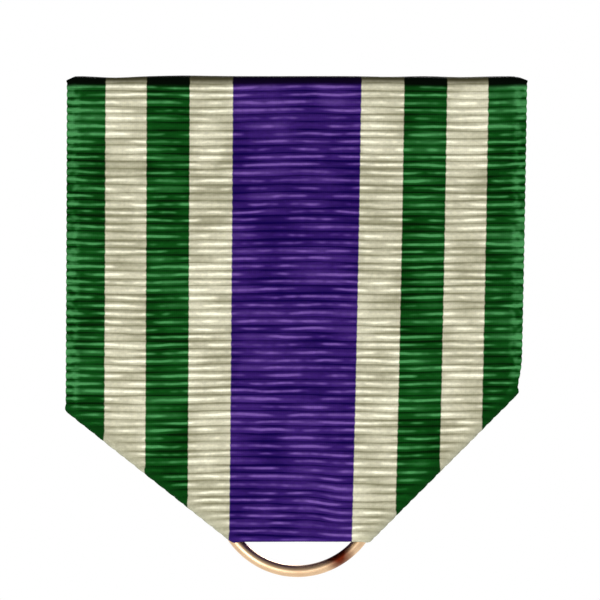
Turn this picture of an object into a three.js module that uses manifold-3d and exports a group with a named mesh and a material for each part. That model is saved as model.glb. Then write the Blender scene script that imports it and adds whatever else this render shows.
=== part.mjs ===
// A full-size service-medal ribbon drape: a striped ribbon folded over a brass bar, a brooch with a
// hinged pin and a turning lock catch riveted behind the bar, and a wire ring held in the bottom fold.
//
// Millimetres. +Z is up as worn, -Y is the front that is seen, +Y points into the garment.
// The origin is the middle of the brooch plate's raised pad, where it bears on the cloth.
import * as THREE from "three";
import { mergeVertices } from "three/addons/utils/BufferGeometryUtils.js";
import Module from "manifold-3d";

const wasm = await Module();
wasm.setup();

// ---------- Driving dimensions ----------

// Ribbon: one strip, pressed into shape.
const RIBBON_WIDTH = 34.925;
const RIBBON_THICKNESS = 0.4;
const DRAPE_LENGTH = 35.6; // top fold to bottom fold
const HEM_LENGTH = 10.4; // back leg, from the top fold to its cut end
const LEFT_CREASE_DEG = 38.3; // slant of each lower side crease above the horizontal
const RIGHT_CREASE_DEG = 45;
const CENTRE_GAP = 0.3; // between the cut ends of the two folded-back flaps
const TAB_WIDTH = 7.8; // narrowed tail that goes through the ring
const TAB_THICKNESS = 0.6;
const TAB_SHIFT = 0.15; // the tab sits a little to the right of the middle
const TAB_END_MARGIN = 1.3; // tab above its row of stitches
const LEFT_CORNER_COVER = 0.3; // how far the front reaches past the ring's wire at each bottom corner
const RIGHT_CORNER_COVER = 0.7;
const FOLD_RADIUS = 0.55; // outside of the bottom fold

// Suspension ring: a butt-jointed wire ring.
const RING_DIAMETER = 13.1;
const WIRE_DIAMETER = 0.95;
const RING_SEAM = 0.12;
const RING_CLEARANCE = 0.1; // in front of and behind the wire, in the pocket
const TAB_CLEARANCE = 0.19; // beside the tab, where the wire passes the bottom fold
const STITCH_CLEARANCE = 0.45; // above the ring's crown

// Sewing thread.
const THREAD_DIAMETER = 0.22;
const THREAD_SLACK = 0.03; // round the thread in its needle holes and where it lies on the cloth
const STITCH_COUNT = 6;
const STITCH_LENGTH = 0.75;
const STITCH_PITCH = 1.1;
const STITCH_BELOW_EDGE = 0.7; // stitch row, below the lower of the two flap edges

// Brooch bar inside the top fold.
const BAR_TOP = 4.0;
const BAR_HEIGHT = 7.6;
const BAR_THICKNESS = 0.9;
const BAR_INSET = 0.35; // at each end, inside the ribbon's edge
const BAR_CORNER = 0.6;

// Brooch plate behind the ribbon's back leg.
const PLATE_HEIGHT = 7.0;
const PLATE_THICKNESS = 0.6;
const PLATE_INSET = 0.85;
const PLATE_CORNER = 1.3;
const PAD_RAISE = 0.35;
const PAD_HEIGHT = 4.6;
const PAD_CORNER = 0.8;
const PAD_MARGIN = 0.6; // from the pad's ends to the two feet

// Pin and its hinge.
const PIN_DIAMETER = 1.0;
const PIN_STANDOFF = 2.1; // free gap between the pad and the pin
const PIN_POINT = 3.4; // length of the tapered point
const PIN_OVERHANG = 0.8; // point past the catch
const EYE_RADIUS = 1.45;
const EYE_THICKNESS = 1.1;
const AXLE_RADIUS = 0.6;
const RUNNING_CLEARANCE = 0.04;
const EYE_SIDE_CLEARANCE = 0.1;
const EAR_THICKNESS = 0.5;
const EAR_RADIUS = 1.8;
const HINGE_INSET = 2.9; // axle, from the end of the plate
const AXLE_HEAD_RADIUS = 0.95;
const AXLE_HEAD_HEIGHT = 0.35;

// Feet of the hinge and the catch, each a strip with a round end for its rivet.
const FOOT_THICKNESS = 0.5;
const FOOT_REACH = 3.7; // from the hinge axle, or the middle of the catch, to the rivet
const FOOT_END_RADIUS = 1.65;

// Rivets: round head behind, countersunk tail flush in the front of the bar.
const RIVET_RADIUS = 0.8;
const RIVET_CLEARANCE = 0.04;
const RIVET_HEAD_RADIUS = 1.3;
const RIVET_HEAD_HEIGHT = 0.55;
const RIVET_TAIL_RADIUS = 1.25;

// Lock catch: a slotted housing and a slotted spool that turns in it.
const CATCH_INSET = 2.9; // middle of the catch, from the end of the plate
const HOUSING_LENGTH = 2.4;
const HOUSING_RADIUS = 2.2;
const HOUSING_WALL = 0.7;
const HOUSING_SLOT = 1.4;
const HOUSING_NECK = 2.0;
const SPOOL_CLEARANCE = 0.05;
const SPOOL_BORE_CLEARANCE = 0.12;
const FLANGE_RADIUS = 1.95;
const FLANGE_THICKNESS = 0.4;
const LEVER_REACH = 3.3;
const LEVER_WIDTH = 1.1;
const LEVER_THICKNESS = 0.5;
const LEVER_DEG = -35; // from the open slot, towards the bottom edge

// ---------- Places worked out from them ----------

const halfRibbon = RIBBON_WIDTH / 2;
const halfPlate = halfRibbon - PLATE_INSET;

// Layers from the garment to the front.
const plateRear = -PAD_RAISE;
const plateFront = plateRear - PLATE_THICKNESS;
const hemFront = plateFront - RIBBON_THICKNESS;
const panelRear = hemFront - BAR_THICKNESS;
const panelFront = panelRear - RIBBON_THICKNESS;
const flapFront = panelRear + THREAD_DIAMETER + 2 * THREAD_SLACK;
const flapRear = flapFront + RIBBON_THICKNESS;
const tabFront = flapRear + WIRE_DIAMETER + 2 * RING_CLEARANCE;
const tabRear = tabFront + TAB_THICKNESS;

// Heights.
const ribbonTop = BAR_TOP + RIBBON_THICKNESS;
const foldBottom = ribbonTop - DRAPE_LENGTH;
const hemEnd = ribbonTop - HEM_LENGTH;
const barBottom = BAR_TOP - BAR_HEIGHT;

// Bottom corners, and the shoulders where the slanted creases meet the ribbon's sides.
const leftCorner = TAB_SHIFT - TAB_WIDTH / 2 - WIRE_DIAMETER - LEFT_CORNER_COVER;
const rightCorner = TAB_SHIFT + TAB_WIDTH / 2 + WIRE_DIAMETER + RIGHT_CORNER_COVER;
const leftCrease = THREE.MathUtils.degToRad(LEFT_CREASE_DEG);
const rightCrease = THREE.MathUtils.degToRad(RIGHT_CREASE_DEG);
const leftShoulder = foldBottom + (halfRibbon + leftCorner) * Math.tan(leftCrease);
const rightShoulder = foldBottom + (halfRibbon - rightCorner) * Math.tan(rightCrease);

// Height of a flap's folded-back side edge, a distance in from its shoulder.
const flapEdge = (shoulder, crease, inward) => shoulder + inward / Math.tan(2 * crease);
const leftFlapEdge = (x) => flapEdge(leftShoulder, leftCrease, halfRibbon + x);
const rightFlapEdge = (x) => flapEdge(rightShoulder, rightCrease, halfRibbon - x);

// Stitch row and the top of the tab.
const tabLeft = TAB_SHIFT - TAB_WIDTH / 2;
const tabRight = TAB_SHIFT + TAB_WIDTH / 2;
const lowestFlapEdge = Math.min(
  leftFlapEdge(tabLeft),
  rightFlapEdge(CENTRE_GAP / 2),
  rightFlapEdge(tabRight),
);
const stitchRow = lowestFlapEdge - STITCH_BELOW_EDGE;
const tabTop = stitchRow + TAB_END_MARGIN;

// The ring is pushed up until the tab's edges or the stitches stop it.
const ringOuter = RING_DIAMETER / 2;
const ringInner = ringOuter - WIRE_DIAMETER;
const ringPath = ringOuter - WIRE_DIAMETER / 2;
const jamRise = Math.sqrt(ringInner ** 2 - (TAB_WIDTH / 2 + TAB_CLEARANCE) ** 2);
const stitchRise = stitchRow - THREAD_DIAMETER / 2 - STITCH_CLEARANCE - ringOuter - foldBottom;
const ringZ = foldBottom + Math.min(jamRise, stitchRise);
const ringY = (flapRear + tabFront) / 2;

// Brooch.
const pinY = PIN_STANDOFF + PIN_DIAMETER / 2;
const footRear = plateRear + FOOT_THICKNESS;
const hingeX = -(halfPlate - HINGE_INSET);
const catchX = halfPlate - CATCH_INSET;
const rivetXs = { hinge: hingeX + FOOT_REACH, catch: catchX - FOOT_REACH };
const padLeft = rivetXs.hinge + FOOT_END_RADIUS + PAD_MARGIN;
const padRight = rivetXs.catch - FOOT_END_RADIUS - PAD_MARGIN;
const eyeHalf = EYE_THICKNESS / 2;
const earInner = eyeHalf + EYE_SIDE_CLEARANCE;
const earOuter = earInner + EAR_THICKNESS;
const spoolHalf = HOUSING_LENGTH / 2 + SPOOL_CLEARANCE;

// ---------- Materials ----------

const metal = (color, roughness) => new THREE.MeshStandardMaterial({ color, roughness, metalness: 1 });
const cloth = (color) => new THREE.MeshStandardMaterial({ color, roughness: 0.75, metalness: 0 });
const BRASS = metal(0xb08d4a, 0.35);
const BRONZE = metal(0xd09060, 0.22);
const NICKEL = metal(0xc4c2bc, 0.25);
const RIBBON = cloth(0x42276f);
const THREAD = cloth(0xd6d0b8);

// ---------- Tools ----------

const SIDES = 28; // facets round a small cylinder

/** A three.js geometry as a manifold solid. */
function solid(geometry) {
  const bare = geometry.clone();
  bare.deleteAttribute("normal");
  bare.deleteAttribute("uv");
  const merged = mergeVertices(bare, 1e-4);
  const vertProperties = merged.attributes.position.array;
  const triVerts = new Uint32Array(merged.index.array);
  return new wasm.Manifold(new wasm.Mesh({ numProp: 3, vertProperties, triVerts }));
}

/** A manifold solid as a three.js mesh. */
function piece(name, made, material) {
  const { vertProperties, triVerts } = made.getMesh();
  const geometry = new THREE.BufferGeometry();
  geometry.setAttribute("position", new THREE.BufferAttribute(vertProperties, 3));
  geometry.setIndex(new THREE.BufferAttribute(triVerts, 1));
  geometry.computeVertexNormals();
  const mesh = new THREE.Mesh(geometry, material);
  mesh.name = name;
  return mesh;
}

const union = (...solids) => solids.reduce((all, next) => all.add(next));
const cut = (from, ...tools) => tools.reduce((left, tool) => left.subtract(tool), from);

/** An outline drawn in two row axes, extruded along the third between two values. */
function prism(outline, from, to, columns) {
  const geometry = new THREE.ExtrudeGeometry(outline, {
    depth: to - from,
    bevelEnabled: false,
    curveSegments: SIDES / 4,
  });
  geometry.translate(0, 0, from);
  const [first, second, third] = columns.map((axis) => new THREE.Vector3(...axis));
  return solid(geometry.applyMatrix4(new THREE.Matrix4().makeBasis(first, second, third)));
}
const X = [1, 0, 0];
const Y = [0, 1, 0];
const Z = [0, 0, 1];
/** Outline in Y and Z, extruded along X. */
const alongX = (outline, from, to) => prism(outline, from, to, [Y, Z, X]);
/** Outline in Z and X, extruded along Y. */
const alongY = (outline, from, to) => prism(outline, from, to, [Z, X, Y]);
/** Outline in X and Y, extruded along Z. */
const alongZ = (outline, from, to) => prism(outline, from, to, [X, Y, Z]);

function polygon(points) {
  const shape = new THREE.Shape();
  points.forEach(([a, b], i) => (i ? shape.lineTo(a, b) : shape.moveTo(a, b)));
  shape.closePath();
  return shape;
}

/** A polygon given in X and Z, as the Z-first outline that alongY takes. */
const sheetOutline = (points) => polygon(points.map(([x, z]) => [z, x]).reverse());

function circle(a, b, radius) {
  return new THREE.Shape().absarc(a, b, radius, 0, 2 * Math.PI);
}

function roundedRectangle(a0, a1, b0, b1, r) {
  const shape = new THREE.Shape();
  shape.absarc(a1 - r, b0 + r, r, -Math.PI / 2, 0);
  shape.absarc(a1 - r, b1 - r, r, 0, Math.PI / 2);
  shape.absarc(a0 + r, b1 - r, r, Math.PI / 2, Math.PI);
  shape.absarc(a0 + r, b0 + r, r, Math.PI, 1.5 * Math.PI);
  shape.closePath();
  return shape;
}

const rectangle = (a0, a1, b0, b1) => polygon([[a0, b0], [a1, b0], [a1, b1], [a0, b1]]);

/** A turned solid about the Y axis from [radius, y] pairs that start and end on the axis, low y first. */
const turned = (profile) =>
  new THREE.LatheGeometry(
    profile.map(([r, y]) => new THREE.Vector2(r, y)),
    SIDES,
  );

/** [radius, height] points of a domed head that rises from a rim radius at one height. */
function dome(radius, height, base, steps = 5) {
  const points = [];
  for (let i = 0; i <= steps; i++) {
    const angle = (i / steps) * (Math.PI / 2);
    points.push([i === steps ? 0 : radius * Math.cos(angle), base + height * Math.sin(angle)]);
  }
  return points;
}

// ---------- Ribbon ----------

/** The front panel: straight sides down to the shoulders, then the two slanted creases. */
function frontPanel() {
  const outline = sheetOutline([
    [-halfRibbon, BAR_TOP - BAR_THICKNESS / 2],
    [-halfRibbon, leftShoulder],
    [leftCorner, foldBottom],
    [rightCorner, foldBottom],
    [halfRibbon, rightShoulder],
    [halfRibbon, BAR_TOP - BAR_THICKNESS / 2],
  ]);
  return alongY(outline, panelFront, panelRear);
}

/** The ribbon over the top of the bar and down behind it. */
function topFoldAndHem() {
  const middle = (panelRear + hemFront) / 2;
  const crown = BAR_TOP - BAR_THICKNESS / 2;
  const outer = BAR_THICKNESS / 2 + RIBBON_THICKNESS;
  const section = new THREE.Shape();
  section.moveTo(panelFront, crown - outer);
  section.lineTo(panelRear, crown - outer);
  section.absarc(middle, crown, BAR_THICKNESS / 2, Math.PI, 0, true);
  section.lineTo(hemFront, hemEnd);
  section.lineTo(plateFront, hemEnd);
  section.absarc(middle, crown, outer, 0, Math.PI, false);
  section.closePath();
  return alongX(section, -halfRibbon, halfRibbon);
}

/** One flap behind the panel, with the crease that joins it to the panel. side is -1 left, 1 right. */
function flap(side, corner, shoulder, crease, edge) {
  const inner = (side * CENTRE_GAP) / 2;
  const flapLayer = sheetOutline([
    [side * halfRibbon, shoulder],
    [inner, edge(inner)],
    [inner, foldBottom],
    [corner, foldBottom],
  ].reverse());
  const inset = RIBBON_THICKNESS / Math.sin(crease);
  const creaseWall = sheetOutline([
    [side * halfRibbon, shoulder],
    [corner, foldBottom],
    [corner - side * inset, foldBottom],
    [side * (halfRibbon - inset), shoulder],
  ]);
  return union(oriented(flapLayer, flapFront, flapRear), oriented(creaseWall, panelFront, flapRear));
}

/** Extrudes an outline whichever way round its points run. */
function oriented(outline, from, to) {
  const points = outline.getPoints();
  if (!THREE.ShapeUtils.isClockWise(points)) return alongY(outline, from, to);
  return alongY(polygon(points.reverse().map((p) => [p.x, p.y])), from, to);
}

/** The tail: back under the bottom edge, then up behind the ring to the stitches. */
function ringTab() {
  const floor = foldBottom + RIBBON_THICKNESS;
  const section = new THREE.Shape();
  section.moveTo(panelFront, foldBottom + FOLD_RADIUS);
  section.absarc(panelFront + FOLD_RADIUS, foldBottom + FOLD_RADIUS, FOLD_RADIUS, Math.PI, 1.5 * Math.PI);
  section.absarc(tabRear - FOLD_RADIUS, foldBottom + FOLD_RADIUS, FOLD_RADIUS, 1.5 * Math.PI, 2 * Math.PI);
  section.lineTo(tabRear, tabTop);
  section.lineTo(tabFront, tabTop);
  section.lineTo(tabFront, floor);
  section.lineTo(panelRear, floor);
  section.lineTo(panelRear, foldBottom + 2 * FOLD_RADIUS);
  section.lineTo(panelFront, foldBottom + 2 * FOLD_RADIUS);
  section.closePath();
  return alongX(section, tabLeft, tabRight);
}

/** Needle holes through the tab and the flaps, one for each leg of each stitch. */
function needleHoles() {
  const radius = THREAD_DIAMETER / 2 + THREAD_SLACK;
  const legs = stitchXs().flatMap((x) => [x - STITCH_LENGTH / 2, x + STITCH_LENGTH / 2]);
  return legs.map((x) => {
    const hole = new THREE.CylinderGeometry(radius, radius, tabRear - panelRear - THREAD_SLACK, 8);
    return solid(hole.translate(x, (tabRear + panelRear) / 2 + THREAD_SLACK, stitchRow));
  });
}

function ribbon() {
  const whole = union(
    frontPanel(),
    topFoldAndHem(),
    flap(-1, leftCorner, leftShoulder, leftCrease, leftFlapEdge),
    flap(1, rightCorner, rightShoulder, rightCrease, rightFlapEdge),
    ringTab(),
  );
  return cut(whole, ...rivetHoles(hemFront, plateFront), ...needleHoles());
}

// ---------- Stitches ----------

/** Middle of each stitch, clear of the gap between the two flaps. */
function stitchXs() {
  const half = STITCH_COUNT / 2;
  const first = CENTRE_GAP / 2 + STITCH_LENGTH / 2 + THREAD_DIAMETER;
  const offsets = Array.from({ length: half }, (_, i) => first + i * STITCH_PITCH);
  return [...offsets.map((x) => -x).reverse(), ...offsets];
}

/** One closed loop of thread through the tab and a flap. */
function stitch(x) {
  const half = STITCH_LENGTH / 2;
  const front = panelRear + THREAD_SLACK + THREAD_DIAMETER / 2;
  const rear = tabRear + THREAD_SLACK + THREAD_DIAMETER / 2;
  const bend = THREAD_DIAMETER / 2;
  const corners = [
    [x - half, front, 1, 1],
    [x - half, rear, 1, -1],
    [x + half, rear, -1, -1],
    [x + half, front, -1, 1],
  ];
  const points = corners.flatMap(([cx, cy, dx, dy], i) => {
    const alongThread = [
      new THREE.Vector3(cx, cy + dy * bend, stitchRow),
      new THREE.Vector3(cx + dx * bend, cy, stitchRow),
    ];
    return i % 2 ? alongThread : alongThread.reverse();
  });
  const path = new THREE.CurvePath();
  points.forEach((p, i) => path.add(new THREE.LineCurve3(p, points[(i + 1) % points.length])));
  return solid(new THREE.TubeGeometry(path, 32, THREAD_DIAMETER / 2, 8, true));
}

// ---------- Suspension ring ----------

class RingArc extends THREE.Curve {
  getPoint(t, target = new THREE.Vector3()) {
    const seamHalf = RING_SEAM / 2 / ringPath;
    const angle = Math.PI / 2 + seamHalf + t * 2 * (Math.PI - seamHalf);
    return target.set(TAB_SHIFT + ringPath * Math.cos(angle), ringY, ringZ + ringPath * Math.sin(angle));
  }
}

function suspensionRing() {
  const section = circle(0, 0, WIRE_DIAMETER / 2);
  const options = { steps: 72, extrudePath: new RingArc(), curveSegments: 12, bevelEnabled: false };
  return solid(new THREE.ExtrudeGeometry(section, options));
}

// ---------- Bar, plate and rivets ----------

/** Clearance holes for the two rivets between two Y planes. */
function rivetHoles(from, to, radius = RIVET_RADIUS + RIVET_CLEARANCE) {
  return Object.values(rivetXs).map((x) => alongY(circle(0, x, radius), from - 0.1, to + 0.1));
}

/** The countersinks in the front of the bar. */
function countersinks() {
  const wide = RIVET_TAIL_RADIUS + RIVET_CLEARANCE;
  const narrow = RIVET_RADIUS + RIVET_CLEARANCE;
  const depth = RIVET_TAIL_RADIUS - RIVET_RADIUS;
  const over = 0.1; // past the bar's face, on the same slope
  const profile = [[0, -over], [wide + over, -over], [narrow, depth], [0, depth]];
  return Object.values(rivetXs).map((x) => solid(turned(profile).translate(x, panelRear, 0)));
}

/** The flat bar in the top fold, with a full-round top edge. */
function broochBar() {
  const half = halfRibbon - BAR_INSET;
  const middle = (panelRear + hemFront) / 2;
  const round = BAR_THICKNESS / 2;
  const section = new THREE.Shape();
  section.moveTo(panelRear, barBottom);
  section.lineTo(hemFront, barBottom);
  section.absarc(middle, BAR_TOP - round, round, 0, Math.PI, false);
  section.closePath();
  const face = roundedRectangle(barBottom, BAR_TOP + BAR_CORNER, -half, half, BAR_CORNER);
  const body = alongX(section, -half, half).intersect(alongY(face, panelRear, hemFront));
  return cut(body, ...rivetHoles(panelRear, hemFront), ...countersinks());
}

/** The brooch plate, with a raised pad that bears on the cloth between the two feet. */
function broochPlate() {
  const h = PLATE_HEIGHT / 2;
  const plate = alongY(roundedRectangle(-h, h, -halfPlate, halfPlate, PLATE_CORNER), plateFront, plateRear);
  const padShape = roundedRectangle(-PAD_HEIGHT / 2, PAD_HEIGHT / 2, padLeft, padRight, PAD_CORNER);
  return cut(plate.add(alongY(padShape, plateFront, 0)), ...rivetHoles(plateFront, plateRear));
}

/** A rivet at x: head behind the foot, shank through everything, tail spread flush in the bar. */
function rivet(x) {
  const tailDepth = RIVET_TAIL_RADIUS - RIVET_RADIUS;
  const profile = [
    [0, panelRear],
    [RIVET_TAIL_RADIUS, panelRear],
    [RIVET_RADIUS, panelRear + tailDepth],
    [RIVET_RADIUS, footRear],
    ...dome(RIVET_HEAD_RADIUS, RIVET_HEAD_HEIGHT, footRear),
  ];
  return solid(turned(profile).translate(x, 0, 0));
}

/** The strip under a hinge or catch: square at one X end, round about the rivet at the other. */
function foot(x, rivetX, halfLength, halfWidth) {
  const inward = Math.sign(rivetX - x);
  const ends = [x - inward * halfLength, rivetX].sort((a, b) => a - b);
  const strip = alongY(rectangle(-halfWidth, halfWidth, ...ends), plateRear, footRear);
  const pad = alongY(circle(0, rivetX, FOOT_END_RADIUS), plateRear, footRear);
  const hole = alongY(circle(0, rivetX, RIVET_RADIUS + RIVET_CLEARANCE), plateRear - 0.1, footRear + 0.1);
  return strip.add(pad).subtract(hole);
}

// ---------- Hinge and pin ----------

/** A folded bracket: the foot and two upright ears with the axle's hole. */
function hingeBracket() {
  const ear = new THREE.Shape();
  ear.moveTo(hingeX - EAR_RADIUS, plateRear);
  ear.lineTo(hingeX + EAR_RADIUS, plateRear);
  ear.absarc(hingeX, pinY, EAR_RADIUS, 0, Math.PI, false);
  ear.closePath();
  const ears = [alongZ(ear, earInner, earOuter), alongZ(ear, -earOuter, -earInner)];
  const hole = alongZ(circle(hingeX, pinY, AXLE_RADIUS + RIVET_CLEARANCE), -earOuter - 0.1, earOuter + 0.1);
  return cut(union(foot(hingeX, rivetXs.hinge, EAR_RADIUS, earOuter), ...ears), hole);
}

/** The hinge's axle, riveted over outside both ears. */
function hingeAxle() {
  const head = dome(AXLE_HEAD_RADIUS, AXLE_HEAD_HEIGHT, earOuter);
  const lower = head.map(([r, y]) => [r, -y]).reverse();
  const profile = [...lower, [AXLE_RADIUS, -earOuter], [AXLE_RADIUS, earOuter], ...head];
  const geometry = turned(profile).rotateX(Math.PI / 2).translate(hingeX, pinY, 0);
  return solid(geometry);
}

/** The pin: a round wire with a tapered point and a flat eye round the axle. */
function pinStem() {
  const r = PIN_DIAMETER / 2;
  const tip = catchX + spoolHalf + FLANGE_THICKNESS + PIN_OVERHANG;
  const start = hingeX + (EYE_RADIUS + AXLE_RADIUS) / 2;
  const wire = turned([
    [0, start],
    [r, start],
    [r, tip - PIN_POINT],
    [0.62 * r, tip - 0.4 * PIN_POINT],
    [0.1, tip - 0.05],
    [0, tip],
  ]);
  wire.rotateZ(-Math.PI / 2).translate(0, pinY, 0);
  const eye = alongZ(circle(hingeX, pinY, EYE_RADIUS), -eyeHalf, eyeHalf);
  const hole = alongZ(circle(hingeX, pinY, AXLE_RADIUS + RUNNING_CLEARANCE), -EYE_THICKNESS, EYE_THICKNESS);
  return solid(wire).add(eye).subtract(hole);
}

// ---------- Lock catch ----------

/** The slotted ring on its foot, open towards the garment where the pin drops in. */
function catchHousing() {
  const [from, to] = [catchX - HOUSING_LENGTH / 2, catchX + HOUSING_LENGTH / 2];
  const ring = alongX(circle(pinY, 0, HOUSING_RADIUS), from, to);
  const inner = pinY - HOUSING_RADIUS + HOUSING_WALL;
  const neck = alongX(rectangle(plateRear, inner, -HOUSING_NECK / 2, HOUSING_NECK / 2), from, to);
  const bore = alongX(circle(pinY, 0, HOUSING_RADIUS - HOUSING_WALL), from - 1, to + 1);
  const reach = pinY + HOUSING_RADIUS + 1;
  const slot = alongX(rectangle(pinY, reach, -HOUSING_SLOT / 2, HOUSING_SLOT / 2), from - 1, to + 1);
  const base = foot(catchX, rivetXs.catch, HOUSING_LENGTH / 2, HOUSING_NECK / 2);
  return cut(union(ring, neck, base), bore, slot);
}

/** The spool that turns round the pin: body, two flanges and a thumb lever, slotted like the housing. */
function catchSpool() {
  const radius = HOUSING_RADIUS - HOUSING_WALL - SPOOL_CLEARANCE;
  const [from, to] = [catchX - spoolHalf, catchX + spoolHalf];
  const body = alongX(circle(pinY, 0, radius), from, to);
  const flanges = [[from - FLANGE_THICKNESS, from], [to, to + FLANGE_THICKNESS]];
  const discs = flanges.map(([a, b]) => alongX(circle(pinY, 0, FLANGE_RADIUS), a, b));
  const lever = roundedRectangle(0, LEVER_REACH, -LEVER_WIDTH / 2, LEVER_WIDTH / 2, LEVER_WIDTH / 2 - 0.05);
  const arm = alongX(lever, to, to + LEVER_THICKNESS).rotate([LEVER_DEG, 0, 0]).translate([0, pinY, 0]);
  const boreRadius = PIN_DIAMETER / 2 + SPOOL_BORE_CLEARANCE;
  const [start, end] = [from - FLANGE_THICKNESS - 1, to + LEVER_THICKNESS + 1];
  const bore = alongX(circle(pinY, 0, boreRadius), start, end);
  const slot = alongX(rectangle(pinY, pinY + LEVER_REACH, -boreRadius, boreRadius), start, end);
  return cut(union(body, ...discs, arm), bore, slot);
}

// ---------- Assembly ----------

const drape = new THREE.Group();
drape.add(
  piece("ribbon", ribbon(), RIBBON),
  piece("brooch_bar", broochBar(), BRASS),
  piece("brooch_plate", broochPlate(), BRASS),
  piece("hinge_bracket", hingeBracket(), BRASS),
  piece("hinge_rivet", rivet(rivetXs.hinge), BRASS),
  piece("hinge_axle", hingeAxle(), BRASS),
  piece("pin_stem", pinStem(), NICKEL),
  piece("catch_housing", catchHousing(), BRASS),
  piece("catch_rivet", rivet(rivetXs.catch), BRASS),
  piece("catch_spool", catchSpool(), NICKEL),
  piece("suspension_ring", suspensionRing(), BRONZE),
);
stitchXs().forEach((x, i) => drape.add(piece(`tab_stitch_${i + 1}`, stitch(x), THREAD)));

export default drape;
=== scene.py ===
"""Looks of a medal's folded suspension ribbon, its brooch and its ring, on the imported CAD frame.

The ribbon is built as flat woven cloth, cut, and then folded: over the bar, under along the three lower
edges, and back up behind the ring. X is across, Y goes back from the viewer and Z is up.
"""

import math

import bmesh
import bpy
import numpy as np
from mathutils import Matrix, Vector

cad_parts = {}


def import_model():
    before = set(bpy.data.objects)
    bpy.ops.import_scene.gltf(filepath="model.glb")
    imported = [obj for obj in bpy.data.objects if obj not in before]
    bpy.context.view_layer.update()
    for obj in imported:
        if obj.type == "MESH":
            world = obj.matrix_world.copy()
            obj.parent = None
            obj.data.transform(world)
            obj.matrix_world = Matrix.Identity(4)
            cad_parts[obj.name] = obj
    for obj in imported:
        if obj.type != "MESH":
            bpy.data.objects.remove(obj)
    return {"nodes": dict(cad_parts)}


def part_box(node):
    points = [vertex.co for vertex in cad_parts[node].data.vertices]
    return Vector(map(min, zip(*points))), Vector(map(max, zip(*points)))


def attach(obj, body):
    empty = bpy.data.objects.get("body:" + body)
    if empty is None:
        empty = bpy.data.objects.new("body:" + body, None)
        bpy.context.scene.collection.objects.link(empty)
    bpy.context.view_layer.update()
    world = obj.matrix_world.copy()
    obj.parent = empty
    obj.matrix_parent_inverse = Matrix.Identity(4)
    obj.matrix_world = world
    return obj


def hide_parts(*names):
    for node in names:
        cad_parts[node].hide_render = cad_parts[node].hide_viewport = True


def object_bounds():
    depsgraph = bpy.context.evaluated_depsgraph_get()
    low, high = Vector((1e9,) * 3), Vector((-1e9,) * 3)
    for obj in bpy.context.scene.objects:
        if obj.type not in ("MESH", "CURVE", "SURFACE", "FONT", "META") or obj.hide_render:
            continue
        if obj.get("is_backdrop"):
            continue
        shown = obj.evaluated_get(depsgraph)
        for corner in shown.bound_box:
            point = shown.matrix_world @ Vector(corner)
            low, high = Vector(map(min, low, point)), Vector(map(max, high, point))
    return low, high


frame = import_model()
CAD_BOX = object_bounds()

MM = 0.001


# ---------- Measures, in millimetres, from the CAD boxes ----------


def box_mm(node):
    low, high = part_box(node)
    return np.array(low) / MM, np.array(high) / MM


ribbon_low, ribbon_high = box_mm("ribbon")
ring_low, ring_high = box_mm("suspension_ring")
BAR_BACK = box_mm("brooch_bar")[1][1]

HALF_WIDTH = (ribbon_high[0] - ribbon_low[0]) / 2
THICKNESS = 0.4
CLEARANCE = 0.1  # between the wire and the cloth on either side of it
TOP = ribbon_high[2]
FOLD = ribbon_low[2]  # the bottom fold
FRONT = ribbon_low[1] + THICKNESS / 2  # middle of the front panel's cloth
BACK = BAR_BACK + THICKNESS / 2  # middle of the back leg's cloth
TURN = (BACK - FRONT) / 2  # radius of the cloth's middle over the bar
CROWN = TOP - THICKNESS / 2 - TURN  # height of the turn's centre
HEM = 10.4  # length of the back leg, from the top

RING_OUTER = (ring_high[2] - ring_low[2]) / 2
WIRE = ring_high[1] - ring_low[1]
RING = (ring_low + ring_high) / 2

# The tab is the narrowed tail that goes back under the ring and up behind it.
TAB_HALF = 3.9
TAB_SHIFT = RING[0]
TAB_BACK = RING[1] + WIRE / 2 + CLEARANCE + 0.3  # middle of the tab's cloth, which is pleated
TAB_TOP = -18.84
FLAP = RING[1] - WIRE / 2 - CLEARANCE - THICKNESS / 2  # middle of the flaps' cloth
CREASE = (FLAP - FRONT) / 2  # radius of the cloth's middle in a crease
INSET = CREASE * math.pi / 2  # length of cloth from where a crease starts to its edge
CENTRE_GAP = 0.3  # between the two flaps

# The panel's lower corners, the slope of its slanting edges, and the height where each meets the side.
LEFT_CORNER = TAB_SHIFT - TAB_HALF - WIRE - 0.3
RIGHT_CORNER = TAB_SHIFT + TAB_HALF + WIRE + 0.7
LEFT_SLANT = math.radians(38.3)
RIGHT_SLANT = math.radians(45)
LEFT_SHOULDER = FOLD + (HALF_WIDTH + LEFT_CORNER) * math.tan(LEFT_SLANT)
RIGHT_SHOULDER = FOLD + (HALF_WIDTH - RIGHT_CORNER) * math.tan(RIGHT_SLANT)

# The weave. First, where each stripe ends, from the middle out.
PURPLE_HALF = 4.86
CREAM_INNER = 8.13
GREEN_INNER = 11.41
CREAM_OUTER = 14.54
SELVEDGE = 0.85  # width of the paler edge
RIB_PITCH = 0.595
RIB_ROWS = 6  # rows of faces in one rib
RIB_HEIGHT = 0.052
CORE = 0.135  # half thickness of the cloth at a groove
WELD = 0.004  # cloth points that are closer than this are one
THREAD_PITCH = 0.155  # of the warp threads, which cross the ribs

# How far each rib lies off its even place, in ribs.
JITTER_RIBS = np.arange(-60, 180)
RIB_JITTER = np.random.default_rng(11).uniform(-0.07, 0.07, len(JITTER_RIBS))


# ---------- The cloth while it is flat ----------
# u is the place across the strip, and phase counts ribs down from the top of the panel.


def smoothstep(low, high, x):
    t = np.clip((x - low) / (high - low), 0, 1)
    return t * t * (3 - 2 * t)


def bump(x, width):
    """A soft hill of height 1 at x = 0."""
    return np.exp(-((x / width) ** 2))


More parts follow.
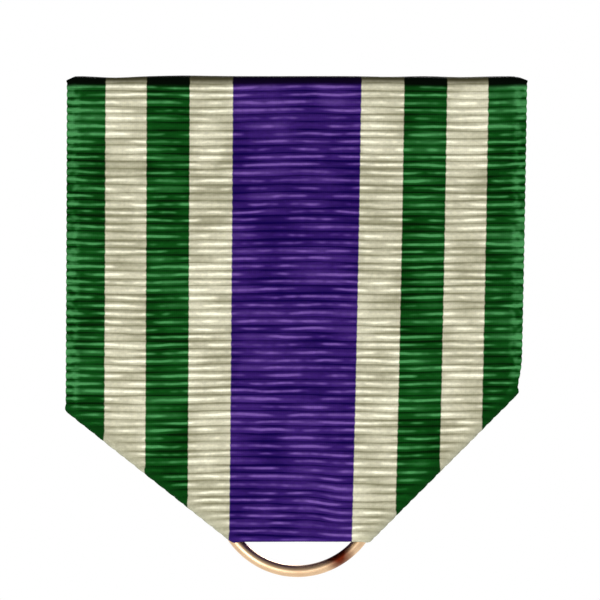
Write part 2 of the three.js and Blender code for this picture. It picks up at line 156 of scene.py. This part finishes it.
def drift(u, z):
    """How far the cloth is pulled sideways at a height, more on the right and towards the bottom."""
    t = np.clip((TOP - z) / (TOP - FOLD), 0, 1)
    pull = 0.15 - 0.52 * t - 0.23 * t * t
    rounded = 0.26 * bump(z - RIGHT_SHOULDER, 1.2) * smoothstep(HALF_WIDTH - 2.5, HALF_WIDTH, u)
    return pull * (0.2 + 0.8 * smoothstep(-10, 6, u)) - rounded


def wander(u, z):
    """How far a rib strays up or down along its length, in three waves."""
    down = TOP - z
    w = 0.045 * np.sin(2 * math.pi * (u / 19 + down / 90 + 0.1))
    w += 0.016 * np.sin(2 * math.pi * (u / 9.5 - down / 47 + 0.4))
    w += 0.008 * np.sin(2 * math.pi * (u / 5.3 + down / 21))
    slip = bump(down - 32.5, 3.2) * smoothstep(1.2, 4.2, u)  # one wider slip, low on the right
    return w - 0.32 * slip


def flat_grid(u_low, u_high, z_high, z_low, columns):
    """A flat grid of cloth in X and Z as a bmesh, with a row of vertices along each groove.

    Each vertex keeps its u and phase in the layer "strip", with room for a third value.
    """
    first = math.floor((TOP - z_high) / RIB_PITCH) - 1
    last = math.ceil((TOP - z_low) / RIB_PITCH) + 1
    phase = np.arange(first * RIB_ROWS, last * RIB_ROWS + 1) / RIB_ROWS
    jitter = np.interp(phase, JITTER_RIBS, RIB_JITTER)
    level = TOP - RIB_PITCH * (phase + jitter)
    us, levels = np.meshgrid(np.linspace(u_low, u_high, columns), level)
    phases = np.repeat(phase[:, None], columns, axis=1)
    zs = levels + wander(us, levels)
    xs = us + drift(us, zs)
    loops = 0.045 * np.abs(np.sin(math.pi * phases))  # the weft's turns stand out along each side
    xs = xs + np.sign(us) * loops * smoothstep(HALF_WIDTH - 0.3, HALF_WIDTH, np.abs(us))
    bm = bmesh.new()
    strip = bm.verts.layers.float_vector.new("strip")
    verts = []
    for x, z, u, p in zip(xs.ravel(), zs.ravel(), us.ravel(), phases.ravel()):
        v = bm.verts.new((x, 0, z))
        v[strip] = (u, p, 0)
        verts.append(v)
    for i in range(len(level) - 1):
        for j in range(columns - 1):
            k = i * columns + j
            bm.faces.new((verts[k], verts[k + columns], verts[k + columns + 1], verts[k + 1]))
    return bm


def cut(bm, point, normal, clear=True):
    """Cuts the flat grid along a line, and clears what lies on the normal's side."""
    bmesh.ops.bisect_plane(
        bm,
        geom=bm.verts[:] + bm.edges[:] + bm.faces[:],
        dist=1e-5,
        plane_co=(point[0], 0, point[1]),
        plane_no=(normal[0], 0, normal[1]),
        clear_outer=clear,
    )


# ---------- The folds ----------


class Crease:
    """A straight fold in the flat cloth: point is on it, normal points out of the panel."""

    def __init__(self, point, normal):
        self.point = np.array(point)
        self.normal = np.array(normal) / np.linalg.norm(normal)

    def beyond(self, x, z):
        """How far past the fold a flat point lies."""
        return (x - self.point[0]) * self.normal[0] + (z - self.point[1]) * self.normal[1]

    def lines(self, bm, angles):
        """Cuts edges along the fold, so that it turns smoothly."""
        for angle in angles:
            cut(bm, self.point + self.normal * (CREASE * angle - INSET), self.normal, clear=False)

    def mirror(self, x, z):
        """The flat point that comes to lie over x, z when the cloth is folded."""
        d = self.beyond(x, z)
        return x - 2 * d * self.normal[0], z - 2 * d * self.normal[1]


LEFT = Crease((LEFT_CORNER, FOLD), (-math.sin(LEFT_SLANT), -math.cos(LEFT_SLANT)))
RIGHT = Crease((RIGHT_CORNER, FOLD), (math.sin(RIGHT_SLANT), -math.cos(RIGHT_SLANT)))
BOTTOM = Crease((0, FOLD), (0, -1))
HALF_TURN = np.linspace(0, math.pi, 9)  # where a half turn gets its edges
FRONT_TURN, BACK_TURN = HALF_TURN[:4], HALF_TURN[5:]


def meeting(a, b):
    """Where the flat cloth's two starting lines of turning meet."""
    rows = np.array([a.normal, b.normal])
    return np.linalg.solve(rows, [a.normal @ a.point - INSET, b.normal @ b.point - INSET])


def turned_under(x, z):
    """Panel cloth near its creased outline: how far each point moves in X and Z, and back in Y.

    A point past where the cloth starts to turn goes round by its distance from the flat part.
    """
    here = np.stack([x, z], axis=1)
    near = here.copy()  # the nearest point of the part that stays flat
    for first, second in ((LEFT, BOTTOM), (BOTTOM, LEFT), (RIGHT, BOTTOM), (BOTTOM, RIGHT)):
        past = first.beyond(x, z) + INSET
        flat = here - past[:, None] * first.normal
        inside = second.beyond(flat[:, 0], flat[:, 1]) + INSET <= 1e-6
        own_side = (x < 0) == (LEFT in (first, second))
        use = (past > 0) & inside & own_side
        near[use] = flat[use]
    for side, crease in ((-1, LEFT), (1, RIGHT)):
        round_corner = (x * side > 0) & (np.abs(near - here).sum(axis=1) < 1e-9)
        round_corner &= crease.beyond(x, z) + INSET > 0
        round_corner &= BOTTOM.beyond(x, z) + INSET > 0
        near[round_corner] = meeting(crease, BOTTOM)
    away = here - near
    distance = np.linalg.norm(away, axis=1)
    angle = np.minimum(distance, INSET) / CREASE
    out = away / np.maximum(distance, 1e-9)[:, None] * (CREASE * np.sin(angle))[:, None]
    moved = near + out - here
    return moved[:, 0], moved[:, 1], CREASE * (1 - np.cos(angle))


def over_the_bar(x, z):
    """Cloth at and above the front panel: straight up, round the bar and down behind it."""
    past = z - CROWN  # how far above the start of the turn
    angle = np.clip(past / TURN, 0, math.pi)
    y = FRONT + TURN * (1 - np.cos(angle))
    up = np.minimum(z, CROWN) + TURN * np.sin(angle) - np.maximum(past - math.pi * TURN, 0)
    # The crest isn't quite straight, its corners droop, and the back leg is a little narrower.
    droop = 0.26 * smoothstep(HALF_WIDTH - 0.5, HALF_WIDTH + 0.1, np.abs(x))
    ripple = 0.02 - 0.11 * bump(x + 14, 1.8) + 0.04 * bump(x + 8.8, 2.0)
    ripple = ripple - 0.05 * bump(x - 7.3, 1.8) - 0.08 * bump(x - 12.7, 2.0)
    narrower = 0.018 * smoothstep(0.5, 1.5, past) * x
    return x - narrower, y, up + (ripple - droop) * np.sin(angle)


def coordinates(bm):
    points = np.array([v.co for v in bm.verts])
    return points[:, 0], points[:, 2]


def mark(bm, folded):
    """Writes how close each point is to the edge of a fold, from 0 to 1, beside its u and phase."""
    strip = bm.verts.layers.float_vector["strip"]
    for v, share in zip(bm.verts, np.clip(folded, 0, 1)):
        v[strip] = (v[strip][0], v[strip][1], share)


def place(bm, x, y, z):
    for v, a, b, c in zip(bm.verts, x, y, z):
        v.co = (a, b, c)


# ---------- The ribbon, part by part ----------

# How far from a fold's edge the cloth is flattened and darkened with painted shade.
SLANT_REACH = 1.5
BOTTOM_REACH = 0.5
TAB_REACH = 0.8


def panel():
    """The front panel, with the turn over the bar and the back leg."""
    bm = flat_grid(-HALF_WIDTH, HALF_WIDTH, TOP + HEM, FOLD, columns=79)
    back_end = CROWN + math.pi * TURN + (CROWN - (TOP - HEM))
    cut(bm, (0, back_end), (0, 1))
    for crease in (LEFT, RIGHT, BOTTOM):
        cut(bm, crease.point, crease.normal)
        crease.lines(bm, FRONT_TURN)
    x, z = coordinates(bm)
    dx, dz, dy = turned_under(x, z)
    over, y, up = over_the_bar(x, z)
    from_slant = np.minimum(-LEFT.beyond(x, z), -RIGHT.beyond(x, z))
    mark(bm, np.maximum(1 - from_slant / SLANT_REACH, 1 + BOTTOM.beyond(x, z) / BOTTOM_REACH))
    place(bm, over + dx, y + dy, up + dz)
    return bm


def flap(crease, side, shoulder, slant):
    """The corner folded back behind the panel, cut off along the bottom fold and beside the middle."""
    inner = side * CENTRE_GAP / 2
    edge = shoulder + (HALF_WIDTH - abs(inner)) / math.tan(2 * slant)
    low = np.array(crease.mirror(inner, FOLD + 0.02))
    high = np.array(crease.mirror(inner, edge))
    kept = np.array(crease.mirror(side * HALF_WIDTH * 0.6, (FOLD + shoulder) / 2))  # a point to keep
    u_low, u_high = sorted((side * 2.5, side * HALF_WIDTH))
    bm = flat_grid(u_low, u_high, max(LEFT_SHOULDER, RIGHT_SHOULDER) + 1, FOLD - 14, columns=37)
    cut(bm, crease.point, -crease.normal)
    for start, end in ((crease.point, low), (low, high)):
        way = end - start
        normal = np.array((way[1], -way[0]))
        cut(bm, start, -normal if np.dot(kept - start, normal) > 0 else normal)
    crease.lines(bm, BACK_TURN)
    x, z = coordinates(bm)
    past = crease.beyond(x, z) + INSET
    angle = np.clip(past / CREASE, 0, math.pi)
    back = CREASE * np.sin(angle) - np.maximum(past - math.pi * CREASE, 0) - past
    y = FRONT + CREASE * (1 - np.cos(angle))
    lift = 0.02 * np.sin(x / 2.3) * smoothstep(1.5, 5, past)
    mark(bm, 1 - (past - INSET) / SLANT_REACH)
    place(bm, x + back * crease.normal[0], y + lift, z + back * crease.normal[1])
    return bm


def tab():
    """The tail: from the bottom fold back under the ring, then up behind it, where it is pleated."""
    run = (TAB_BACK - CREASE) - (FRONT + CREASE)
    rise = TAB_TOP - (FOLD + THICKNESS / 2 + CREASE)
    length = run + INSET + rise
    u_low, u_high = TAB_SHIFT - TAB_HALF - 1, TAB_SHIFT + TAB_HALF + 1
    bm = flat_grid(u_low, u_high, FOLD, FOLD - length, columns=27)
    cut(bm, (0, FOLD), (0, 1))
    cut(bm, (0, FOLD - length), (0, -1))
    cut(bm, (TAB_SHIFT - TAB_HALF, 0), (-1, 0))
    cut(bm, (TAB_SHIFT + TAB_HALF, 0), (1, 0))
    x, z = coordinates(bm)
    along = FOLD - z
    turn = np.clip((along - run) / CREASE, 0, math.pi / 2)
    y = FRONT + CREASE + np.minimum(along, run) + CREASE * np.sin(turn)
    up = FOLD + THICKNESS / 2 + CREASE * (1 - np.cos(turn)) + np.maximum(along - run - INSET, 0)
    mark(bm, 1 - along / TAB_REACH)
    pleats = 0.085 * np.sin((x - TAB_SHIFT) * 2 * math.pi / 2.6 + 0.5)
    place(bm, x, y + pleats * smoothstep(run + 1, run + 3, along), up)
    return bm


def joined(parts):
    """All the parts as one welded bmesh."""
    whole = bmesh.new()
    strip = whole.verts.layers.float_vector.new("strip")
    for bm in parts:
        source = bm.verts.layers.float_vector["strip"]
        made = {}
        for v in bm.verts:
            new = whole.verts.new(v.co)
            new[strip] = v[source]
            made[v] = new
        for f in bm.faces:
            whole.faces.new([made[v] for v in f.verts])
        bm.free()
    bmesh.ops.remove_doubles(whole, verts=whole.verts[:], dist=WELD)
    whole.normal_update()
    return whole


def rib_height(u, phase):
    """How far the cloth's surface stands over its grooves: rounded ribs of uneven height."""
    rib = np.floor(phase + 1e-6)
    crest = np.abs(np.sin(math.pi * phase)) ** 0.62
    uneven = 0.80 + 0.20 * np.sin(u / 2.1 + rib * 2.7) * np.sin(rib * 1.3 + u / 5.1)
    flat = 1 - 0.30 * smoothstep(HALF_WIDTH - SELVEDGE - 0.1, HALF_WIDTH - SELVEDGE + 0.3, np.abs(u))
    return RIB_HEIGHT * crest * uneven * flat


def linked(name, data):
    """A new object in the scene, holding the data."""
    made = bpy.data.objects.new(name, data)
    bpy.context.collection.objects.link(made)
    return made


def ribbon_object():
    """The folded ribbon as one closed mesh, and the flat area of its cloth in square metres."""
    left = flap(LEFT, -1, LEFT_SHOULDER, LEFT_SLANT)
    right = flap(RIGHT, 1, RIGHT_SHOULDER, RIGHT_SLANT)
    middle = joined([panel(), tab(), left, right])
    area = sum(f.calc_area() for f in middle.faces) * MM * MM
    strip = middle.verts.layers.float_vector["strip"]
    middle.verts.index_update()
    points = np.array([v.co for v in middle.verts])
    normals = np.array([v.normal for v in middle.verts])
    marks = np.array([v[strip] for v in middle.verts])
    grow = (CORE + rib_height(marks[:, 0], marks[:, 1]))[:, None]
    n = len(points)
    faces = [[v.index for v in f.verts] for f in middle.faces]
    faces += [[i + n for i in reversed(f)] for f in faces]
    for e in middle.edges:
        if e.is_boundary:
            loop = e.link_loops[0]
            a, b = loop.vert.index, loop.link_loop_next.vert.index
            faces.append([b, a, a + n, b + n])
    middle.free()
    surface = np.vstack([points + normals * grow, points - normals * grow]) * MM
    mesh = bpy.data.meshes.new("ribbon_cloth")
    mesh.from_pydata(surface.tolist(), [], faces)
    layer = mesh.attributes.new("strip", "FLOAT_VECTOR", "POINT")
    layer.data.foreach_set("vector", np.vstack([marks, marks]).astype(np.float32).ravel())
    mesh.shade_smooth()
    mesh.set_sharp_from_angle(angle=math.radians(70))
    return linked("ribbon_cloth", mesh), area


# ---------- The ring ----------

WIRE_TURNS = 200  # sections along the wire
WIRE_SIDES = 28
BUTT_HALF_GAP = 0.06


def ring_object():
    """The wire ring, a hair out of round, with its two cut ends at the crown.

    The wire is a little slimmer than the CAD's, so that it stays inside where it strays.
    """
    path = RING_OUTER - WIRE / 2
    half_gap = BUTT_HALF_GAP / path
    bm = bmesh.new()
    sections = []
    for i in range(WIRE_TURNS + 1):
        angle = math.pi / 2 + half_gap + 2 * (math.pi - half_gap) * i / WIRE_TURNS
        stray = 0.018 * math.sin(3 * angle + 0.6)
        radial = Vector((math.cos(angle), 0, math.sin(angle)))
        centre = Vector(RING) + radial * (path + stray)
        section = []
        for t in np.linspace(0, 2 * math.pi, WIRE_SIDES, endpoint=False):
            out = radial * (WIRE / 2 - 0.02) * math.cos(t)
            back = Vector((0, (WIRE / 2 - 0.005) * math.sin(t), 0))
            section.append(bm.verts.new(centre + out + back))
        sections.append(section)
    for a, b in zip(sections, sections[1:]):
        for k in range(WIRE_SIDES):
            after = (k + 1) % WIRE_SIDES
            bm.faces.new((a[k], b[k], b[after], a[after]))
    bm.faces.new(sections[0])
    bm.faces.new(list(reversed(sections[-1])))
    bmesh.ops.recalc_face_normals(bm, faces=bm.faces[:])
    bmesh.ops.scale(bm, vec=(MM, MM, MM), verts=bm.verts[:])
    mesh = bpy.data.meshes.new("wire_ring")
    bm.to_mesh(mesh)
    bm.free()
    mesh.shade_smooth()
    mesh.set_sharp_from_angle(angle=math.radians(60))
    return linked("wire_ring", mesh)


# ---------- Materials ----------


class Nodes:
    """Short calls for building one material's nodes."""

    def __init__(self, name):
        self.material = bpy.data.materials.new(name)
        self.material.use_nodes = True
        self.tree = self.material.node_tree
        self.shader = self.tree.nodes["Principled BSDF"]

    def add(self, kind, **settings):
        node = self.tree.nodes.new("ShaderNode" + kind)
        for key, value in settings.items():
            setattr(node, key, value)
        return node

    def feed(self, socket, value):
        if isinstance(value, bpy.types.NodeSocket):
            self.tree.links.new(value, socket)
        elif isinstance(value, tuple) and len(value) == 3 and socket.type == "RGBA":
            socket.default_value = (*value, 1)
        else:
            socket.default_value = value

    def math(self, operation, a, b=0.0):
        node = self.add("Math", operation=operation)
        for socket, value in zip(node.inputs, (a, b)):
            self.feed(socket, value)
        return node.outputs[0]

    def ramp(self, value, low, high, out_low=0.0, out_high=1.0):
        """value from low..high to out_low..out_high, eased."""
        node = self.add("MapRange", interpolation_type="SMOOTHSTEP")
        for socket, v in zip(node.inputs, (value, low, high, out_low, out_high)):
            self.feed(socket, v)
        return node.outputs[0]

    def mix(self, factor, a, b, blend="MIX"):
        node = self.add("Mix", data_type="RGBA", blend_type=blend)
        self.feed(node.inputs[0], factor)
        self.feed(node.inputs[6], a)
        self.feed(node.inputs[7], b)
        return node.outputs[2]

    def vector(self, x, y, z):
        node = self.add("CombineXYZ")
        for socket, value in zip(node.inputs, (x, y, z)):
            self.feed(socket, value)
        return node.outputs[0]

    def parts(self, vector):
        """The three parts of a vector."""
        node = self.add("SeparateXYZ")
        self.feed(node.inputs[0], vector)
        return node.outputs

    def place_mm(self):
        """The place on the object, in millimetres."""
        node = self.add("VectorMath", operation="SCALE")
        self.feed(node.inputs[0], self.add("TexCoord").outputs["Object"])
        node.inputs["Scale"].default_value = 1 / MM
        return node.outputs[0]

    def noise(self, vector, scale=1.0, detail=2.0, roughness=0.5):
        node = self.add("TexNoise")
        self.feed(node.inputs["Vector"], vector)
        node.inputs["Scale"].default_value = scale
        node.inputs["Detail"].default_value = detail
        node.inputs["Roughness"].default_value = roughness
        return node.outputs[0]

    def bump(self, height, distance, strength=1.0, normal=None):
        node = self.add("Bump")
        node.inputs["Strength"].default_value = strength
        node.inputs["Distance"].default_value = distance
        self.feed(node.inputs["Height"], height)
        if normal is not None:
            self.feed(node.inputs["Normal"], normal)
        return node.outputs[0]

    def set(self, **values):
        """Feeds the shader's sockets by name, and returns the finished material."""
        for key, value in values.items():
            self.feed(self.shader.inputs[key.replace("_", " ")], value)
        return self.material


# ---------- The woven cloth ----------

# Each dye with painted shade in a groove, plain on a flat stretch, with a painted highlight on a crest, and
# darkened by painted shade over the top fold.
GREEN = ((0.0, 0.010, 0.0), (0.0035, 0.065, 0.0065), (0.062, 0.265, 0.083), (0.001, 0.003, 0.001))
CREAM = ((0.24, 0.23, 0.14), (0.565, 0.54, 0.395), (0.96, 0.93, 0.73), (0.085, 0.078, 0.038))
PURPLE = ((0.004, 0.0, 0.055), (0.037, 0.0108, 0.139), (0.160, 0.079, 0.340), (0.004, 0.001, 0.013))
PLAIN = 0.4  # where the plain tone sits between groove, at 0, and crest, at 1
FLAT_SHADED_TONE = 0.19  # the flat tone over the edge of a fold, darkened as painted shade
# A grey tint of painted shade over the edge of a fold, where the cloth turns away.
FOLD_SHADE_TINT = (0.72, 0.76, 0.80)
TOP_SHADE_REACH = (1.40, 0.92, 1.22)  # how many ribs down the painted shade of the top fold goes, on green, cream and purple


def ribbon_material():
    n = Nodes("ribbon_weave")
    u, phase, folded = n.parts(n.add("Attribute", attribute_name="strip").outputs["Vector"])
    rib = n.math("FLOOR", phase)
    inside = n.math("FRACT", phase)

    def noise(across, down, count, layer, detail, roughness=0.5):
        """Noise with a scale across the strip and one down it, where count is phase or rib."""
        at = n.vector(n.math("MULTIPLY", u, across), n.math("MULTIPLY", count, down), layer)
        return n.noise(at, 1.0, detail, roughness)

    def from_middle(middle):
        """How far up or down in its rib a point lies from the given share of it."""
        return n.math("ABSOLUTE", n.math("SUBTRACT", inside, middle))

    ragged = n.math("MULTIPLY", n.math("SUBTRACT", noise(0.6, 1.7, phase, 3.0, 1.0), 0.5), 0.12)
    from_centre = n.math("ABSOLUTE", n.math("ADD", u, ragged))

    def stripes(green, cream, purple):
        """The three values laid out as the ribbon's nine stripes."""
        colour = purple
        for at, next_colour in (
            (PURPLE_HALF, cream),
            (CREAM_INNER, green),
            (GREEN_INNER, cream),
            (CREAM_OUTER, green),
        ):
            colour = n.mix(n.ramp(from_centre, at - 0.05, at + 0.05), colour, next_colour)
        return colour

    dark, plain, lit, top_shade_colour = (stripes(*dyes) for dyes in zip(GREEN, CREAM, PURPLE))

    # A painted highlight along each rib and painted shade in each groove, both uneven along the rib.
    long_runs = noise(0.16, 7.31, rib, 0.0, 1.0)
    middling_runs = noise(0.28, 5.13, rib, 4.0, 2.0)
    short_runs = noise(0.40, 3.77, rib, 9.0, 2.0)
    line = n.ramp(from_middle(n.ramp(middling_runs, 0.3, 0.7, 0.41, 0.58)), 0.26, 0.03)
    groove = n.ramp(from_middle(0.5), 0.28, 0.5)
    painted_highlight = n.math("MULTIPLY", line, n.ramp(short_runs, 0.38, 0.68, 0.10, 0.85))
    shade = n.math("MULTIPLY", groove, n.ramp(middling_runs, 0.32, 0.66, 0.38, 0.14))

    # The cloth's own tone in wide soft zones, and painted light that makes the first ribs a little lighter.
    body = n.ramp(long_runs, 0.30, 0.70, 0.16, 0.46)
    body = n.math("ADD", body, n.ramp(noise(0.33, 0.09, phase, 2.0, 2.0), 0.36, 0.64, -0.07, 0.05))
    # Painted light: the first ribs a little lighter.
    body = n.math("ADD", body, n.ramp(phase, 4.0, 11.0, 0.08, 0.0))
    tone = n.math("SUBTRACT", n.math("ADD", body, painted_highlight), shade)

    # The selvedge, where the weft turns back: paler and in blobs.
    inner_edge = HALF_WIDTH - SELVEDGE
    side = n.ramp(n.math("ABSOLUTE", u), inner_edge - 0.35, inner_edge + 0.30)
    blobs = n.ramp(noise(1.3, 0.9, phase, 5.0, 1.0), 0.32, 0.68, 0.04, 0.48)
    # Painted shade keeps the selvedge's grooves a little darker.
    pale = n.math("SUBTRACT", blobs, n.math("MULTIPLY", groove, 0.12))
    tone = n.math("ADD", tone, n.math("MULTIPLY", side, pale))

    # Over the edge of a fold the ribs flatten, and painted shade makes the cloth darker and greyer where it
    # turns away.
    flattened_and_shaded = n.ramp(folded, 0.0, 0.85, 0.0, 0.85)
    tone = n.math("MULTIPLY", tone, n.math("SUBTRACT", 1.0, flattened_and_shaded))
    tone = n.math("ADD", tone, n.math("MULTIPLY", flattened_and_shaded, FLAT_SHADED_TONE))
    # The tone picks between the groove's painted shade, the plain dye and the crest's painted highlight.
    colour = n.mix(n.math("DIVIDE", tone, PLAIN), dark, plain)
    colour = n.mix(n.math("DIVIDE", n.math("SUBTRACT", tone, PLAIN), 1 - PLAIN), colour, lit)
    colour = n.mix(n.ramp(folded, 0.55, 1.1, 0.0, 1.0), colour, FOLD_SHADE_TINT, "MULTIPLY")

    # Painted shade over the top fold, where the cloth turns away from the light, further down over the
    # greens.
    reach = stripes(*((ribs,) * 3 for ribs in TOP_SHADE_REACH))
    painted_top_shade = n.ramp(n.math("SUBTRACT", phase, reach), -0.38, 0.32, 1.0, 0.0)
    painted_top_shade = n.math("MULTIPLY", painted_top_shade, n.ramp(phase, -2.4, -0.7, 0.0, 1.0))
    colour = n.mix(painted_top_shade, colour, top_shade_colour)

    # The warp threads, fine and across the ribs.
    wave = n.math("SINE", n.math("MULTIPLY", u, 2 * math.pi / THREAD_PITCH))
    fuzz = noise(3.0, 2.6, phase, 1.0, 3.0, 0.65)
    fine = n.ramp(fuzz, 0.25, 0.75, 0.88, 1.10)
    colour = n.mix(1.0, colour, n.vector(fine, fine, fine), "MULTIPLY")
    height = n.math("ADD", n.math("MULTIPLY", wave, 0.15), fuzz)
    return n.set(
        Base_Color=colour,
        Roughness=n.ramp(fuzz, 0.3, 0.7, 0.50, 0.70),
        Specular_IOR_Level=0.015,
        Normal=n.bump(height, 0.02 * MM, 0.8),
    )


# ---------- Metal and thread ----------

EDGE_ROUND = 0.06  # radius that an edge looks rounded to
CORNER_REACH = 0.7  # how far the darkening spreads from a corner


def metal_material(name, colour, dark_tone, roughness, grain):
    """Worn plated metal: brushed grain, darker patches, corners darker and rougher, and softened edges.

    grain says how fine the brushed lines are along X, Y and Z.
    """
    n = Nodes(name)
    where = n.place_mm()
    stretched = n.add("VectorMath", operation="MULTIPLY")
    n.feed(stretched.inputs[0], where)
    stretched.inputs[1].default_value = grain
    lines = n.noise(stretched.outputs[0], 1.0, 3.0, 0.6)
    patches = n.noise(where, 0.45, 4.0, 0.6)
    rounded = n.add("Bevel", samples=6)
    rounded.inputs["Radius"].default_value = EDGE_ROUND * MM
    # Corners made darker and rougher, by ambient occlusion.
    corners = n.add("AmbientOcclusion", samples=6)
    corners.inputs["Distance"].default_value = CORNER_REACH * MM
    corner_darkening = n.ramp(corners.outputs["AO"], 0.25, 0.95, 0.75, 0.0)
    tint = n.mix(n.ramp(patches, 0.45, 0.80, 0.0, 0.45), colour, dark_tone)
    tint = n.mix(corner_darkening, tint, tuple(c * 0.35 for c in dark_tone))
    rough = n.ramp(lines, 0.3, 0.7, roughness - 0.06, roughness + 0.08)
    return n.set(
        Base_Color=tint,
        Metallic=1.0,
        Roughness=n.math("ADD", rough, n.math("MULTIPLY", corner_darkening, 0.3)),
        Normal=n.bump(lines, 0.002 * MM, 0.4, rounded.outputs[0]),
    )


def ring_material():
    """Smooth bronze wire, with painted shade along its inner edge and a painted dark reflection at one
    place low on the right.
    """
    n = Nodes("ring_bronze")
    where = n.place_mm()

    def distance(point):
        node = n.add("VectorMath", operation="DISTANCE")
        n.feed(node.inputs[0], where)
        node.inputs[1].default_value = tuple(point)
        return node.outputs["Value"]

    bronze, worn_bronze = (0.62, 0.43, 0.265), (0.52, 0.34, 0.20)
    dark_tone, dark_reflection = (0.36, 0.20, 0.10), (0.11, 0.014, 0.004)
    inner = RING_OUTER - WIRE
    cloud = n.noise(where, 1.1, 3.0, 0.55)
    stray = n.math("MULTIPLY", n.math("SUBTRACT", cloud, 0.5), 0.5)
    # Painted shade along the wire's inner edge.
    inner_edge_shade = n.ramp(n.math("ADD", distance(RING), stray), inner + 0.02, inner + 0.26, 0.55, 0.0)
    # A painted dark reflection at one place low on the right.
    low_right = math.radians(-58)
    middle = RING + (inner + 0.15) * np.array((math.cos(low_right), 0, math.sin(low_right)))
    painted_reflection = n.ramp(n.math("ADD", distance(middle), stray), 0.6, 1.5, 1.0, 0.0)
    colour = n.mix(n.ramp(cloud, 0.35, 0.70, 0.0, 0.5), bronze, worn_bronze)
    colour = n.mix(inner_edge_shade, colour, dark_tone)
    colour = n.mix(painted_reflection, colour, dark_reflection)
    return n.set(Base_Color=colour, Metallic=1.0, Roughness=n.ramp(cloud, 0.3, 0.7, 0.34, 0.44))


def thread_material():
    """Twisted cream thread, with the twist as slanting lines of relief and painted shade, and loose fibres
    as fine noise.
    """
    n = Nodes("sewing_thread")
    where = n.place_mm()
    x, _, z = n.parts(where)
    twist = n.math("SINE", n.math("ADD", n.math("MULTIPLY", x, 26.0), n.math("MULTIPLY", z, 34.0)))
    fibre = n.noise(where, 14.0, 3.0)
    # Painted shade in the twist's grooves.
    colour = n.mix(n.ramp(twist, -1.0, 0.6), (0.42, 0.38, 0.28), (0.80, 0.77, 0.66))
    colour = n.mix(n.ramp(fibre, 0.35, 0.7, 0.0, 0.35), colour, (0.55, 0.50, 0.38))
    relief = n.math("ADD", twist, fibre)
    return n.set(Base_Color=colour, Roughness=0.7, Normal=n.bump(relief, 0.02 * MM))


# ---------- The pieces ----------

ribbon, flat_area = ribbon_object()
ribbon.data.materials.append(ribbon_material())
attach(ribbon, "drape")
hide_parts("ribbon")

BRASS = metal_material("brass_satin", (0.62, 0.42, 0.155), (0.44, 0.28, 0.10), 0.24, (1.2, 26.0, 38.0))
BRASS_BRIGHT = metal_material("brass_bright", (0.66, 0.46, 0.18), (0.38, 0.24, 0.08), 0.20, (5.0, 5.0, 5.0))
NICKEL = metal_material("nickel_plate", (0.44, 0.42, 0.385), (0.20, 0.175, 0.135), 0.24, (2.0, 9.0, 9.0))
THREAD = thread_material()

LOOKS = {
    "brooch_bar": BRASS,
    "brooch_plate": BRASS,
    "hinge_bracket": BRASS,
    "catch_housing": BRASS,
    "hinge_rivet": BRASS_BRIGHT,
    "catch_rivet": BRASS_BRIGHT,
    "hinge_axle": BRASS_BRIGHT,
    "pin_stem": NICKEL,
    "catch_spool": NICKEL,
}
for name, node in frame["nodes"].items():
    look = LOOKS.get(name, THREAD if name.startswith("tab_stitch") else None)
    if look:
        node.data.materials.clear()
        node.data.materials.append(look)

ring = ring_object()
ring.data.materials.append(ring_material())
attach(ring, "ring")
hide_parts("suspension_ring")


# ---------- Floor, light and camera, in metres ----------

FLOOR = -0.12
FLOOR_RADIUS = 0.8

# The middle of the picture, its width at the ribbon's front, and a long lens.
CENTRE = Vector((0.31, 0, TOP - 17.12)) * MM
FRAME_WIDTH = 45.77 * MM
LENS, SENSOR = 400.0, 36.0


def floor():
    mesh = bpy.data.meshes.new("floor")
    turns = np.linspace(0, 2 * math.pi, 96, endpoint=False)
    rim = [(FLOOR_RADIUS * math.cos(t), FLOOR_RADIUS * math.sin(t), FLOOR) for t in turns]
    mesh.from_pydata(rim, [], [tuple(range(len(rim)))])
    n = Nodes("floor_pale")
    mottle = n.noise(n.add("TexCoord").outputs["Object"], 60.0, 4.0)
    pale = n.mix(mottle, (0.84, 0.84, 0.83), (0.88, 0.88, 0.87))
    mesh.materials.append(n.set(Base_Color=pale, Roughness=0.9))
    linked("floor", mesh)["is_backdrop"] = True


def soft_light(name, place, target, size, power):
    data = bpy.data.lights.new(name, "AREA")
    data.shape = "DISK"
    data.size = size
    data.energy = power
    made = linked(name, data)
    made.location = place
    made.rotation_euler = (Vector(target) - Vector(place)).to_track_quat("-Z", "Y").to_euler()


def world():
    """A white surround that dims overhead, so that the ribs and the top fold keep their shade."""
    made = bpy.data.worlds.new("studio")
    bpy.context.scene.world = made
    made.use_nodes = True
    tree = made.node_tree
    coord = tree.nodes.new("ShaderNodeTexCoord")
    split = tree.nodes.new("ShaderNodeSeparateXYZ")
    fade = tree.nodes.new("ShaderNodeMapRange")
    fade.interpolation_type = "SMOOTHSTEP"
    low, high, strength_below, strength_above = 0.08, 0.40, 1.0, 0.30
    for socket, value in zip(fade.inputs[1:5], (low, high, strength_below, strength_above)):
        socket.default_value = value
    tree.links.new(coord.outputs["Generated"], split.inputs[0])
    tree.links.new(split.outputs[2], fade.inputs[0])
    tree.links.new(fade.outputs[0], tree.nodes["Background"].inputs["Strength"])
    tree.nodes["Background"].inputs["Color"].default_value = (1, 1, 1, 1)


def camera():
    data = bpy.data.cameras.new("camera")
    data.lens = LENS
    data.sensor_width = SENSOR
    data.clip_end = 20
    made = linked("camera", data)
    distance = FRAME_WIDTH * LENS / SENSOR
    made.location = CENTRE + Vector((0, FRONT * MM - distance, 0))
    made.rotation_euler = (math.pi / 2, 0, 0)
    bpy.context.scene.camera = made


floor()
world()
soft_light("key", (-0.06, -0.19, -0.078), CENTRE, 0.08, 0.16)
soft_light("floor_wash", (0, 0, -0.065), (0, 0, FLOOR), 2.2, 8.6)
soft_light("behind", (0.10, 0.42, 0.20), CENTRE, 0.20, 1.6)
camera()
bpy.context.scene.view_settings.view_transform = "Standard"
bpy.context.scene.view_settings.look = "None"

boxes = {"cad": CAD_BOX, "visual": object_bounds()}
{name: [list(corner) for corner in box] for name, box in boxes.items()}
